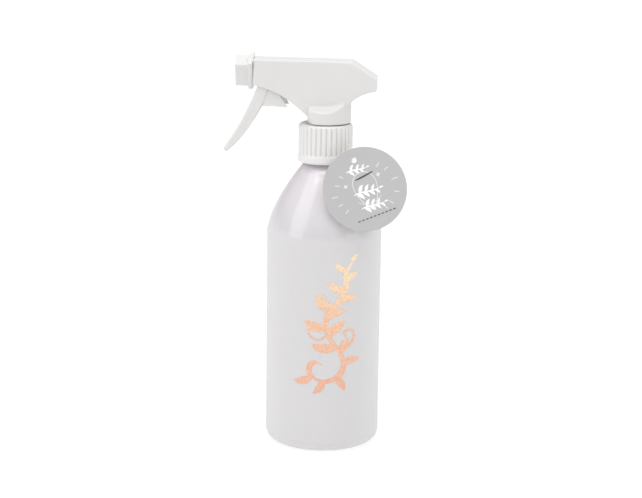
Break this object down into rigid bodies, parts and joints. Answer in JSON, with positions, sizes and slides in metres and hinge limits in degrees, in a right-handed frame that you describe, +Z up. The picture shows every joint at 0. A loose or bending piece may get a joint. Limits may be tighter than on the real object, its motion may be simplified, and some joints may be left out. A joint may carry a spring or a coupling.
{
  "type": "trigger spray bottle",
  "caption": "Round refillable bottle with a screw-on trigger sprayer, turnable nozzle, dip tube and a round card swing tag.",
  "frame": {"origin": "centre of the bottle's base, on the surface it stands on", "axes": "+Z up along the bottle's axis, -X the way the sprayer points, -Y towards the decorated front"},
  "size_m": [0.1086, 0.068, 0.2328],
  "materials": {
    "bottle_plastic": "glossy pearl white PET",
    "closure_plastic": "satin white polypropylene",
    "head_plastic": "satin white polypropylene",
    "seal": "soft white polyethylene",
    "seal_rubber": "matt black rubber",
    "spring_steel": "drawn stainless steel",
    "tube_plastic": "translucent natural polyethylene",
    "loop_nylon": "clear moulded nylon",
    "tag_card": "grey printed card, matt",
    "tag_print": "white and dark ink",
    "foil_print": "crinkled rose-gold hot-stamped foil"
  },
  "bodies": {
    "bottle": {"bottle": "bottle_plastic", "tag_loop": "loop_nylon"},
    "tag": {"swing_tag": "tag_card"},
    "gasket": {"neck_gasket": "seal"},
    "closure": {"closure": "closure_plastic"},
    "head": {"sprayer_body": "head_plastic", "shroud": "head_plastic", "tube_retainer": "head_plastic", "dip_tube": "tube_plastic", "bore_plug": "head_plastic", "spinner": "head_plastic", "nozzle_seal": "seal_rubber", "return_spring": "spring_steel", "outlet_spring": "spring_steel"},
    "trigger": {"trigger": "head_plastic"},
    "piston": {"piston": "head_plastic", "piston_cup": "seal"},
    "inlet_ball": {"inlet_ball": "spring_steel"},
    "outlet_valve": {"outlet_valve": "seal"},
    "nozzle": {"nozzle": "head_plastic"}
  },
  "joints": [
    {"name": "tag_swing", "type": "hinge", "parent": "bottle", "child": "tag", "pos_m": [0.0174, -0.02183, 0.17544], "axis": [0.1338, -0.9519, 0.2756], "range_deg": [-45, 20]},
    {"name": "head_lift", "type": "slide", "parent": "bottle", "child": "gasket", "axis": [0, 0, 1], "range_m": [0, 0.00634]},
    {"name": "closure_turn", "type": "hinge", "parent": "gasket", "child": "closure", "pos_m": [0, 0, 0.18], "axis": [0, 0, 1], "range_deg": [0, 540]},
    {"name": "head_swivel", "type": "hinge", "parent": "gasket", "child": "head", "pos_m": [0, 0, 0.19], "axis": [0, 0, 1], "range_deg": [-180, 30]},
    {"name": "trigger_pull", "type": "hinge", "parent": "head", "child": "trigger", "pos_m": [-0.034, 0, 0.2255], "axis": [0, -1, 0], "range_deg": [0, 24], "stiffness_Nm_per_rad": 0.12, "springref_deg": -11.46},
    {"name": "piston_slide", "type": "slide", "parent": "head", "child": "piston", "axis": [1, 0, 0], "range_m": [0, 0.0059], "deforming": ["return_spring"]},
    {"name": "nozzle_turn", "type": "hinge", "parent": "head", "child": "nozzle", "pos_m": [-0.048, 0, 0.2225], "axis": [-1, 0, 0], "continuous": true},
    {"name": "inlet_ball_lift", "type": "slide", "parent": "head", "child": "inlet_ball", "axis": [0, 0, 1], "range_m": [0, 0.0012]},
    {"name": "outlet_valve_open", "type": "slide", "parent": "head", "child": "outlet_valve", "axis": [-1, 0, 0], "range_m": [0, 0.0008], "stiffness_N_per_m": 5, "springref_m": -0.001, "deforming": ["outlet_spring"]}
  ],
  "couplings": [
    {"joint": "closure_turn", "follows": "head_lift", "rad_per_m": 1485.4},
    {"joint": "piston_slide", "follows": "trigger_pull", "m_per_rad": 0.014}
  ]
}
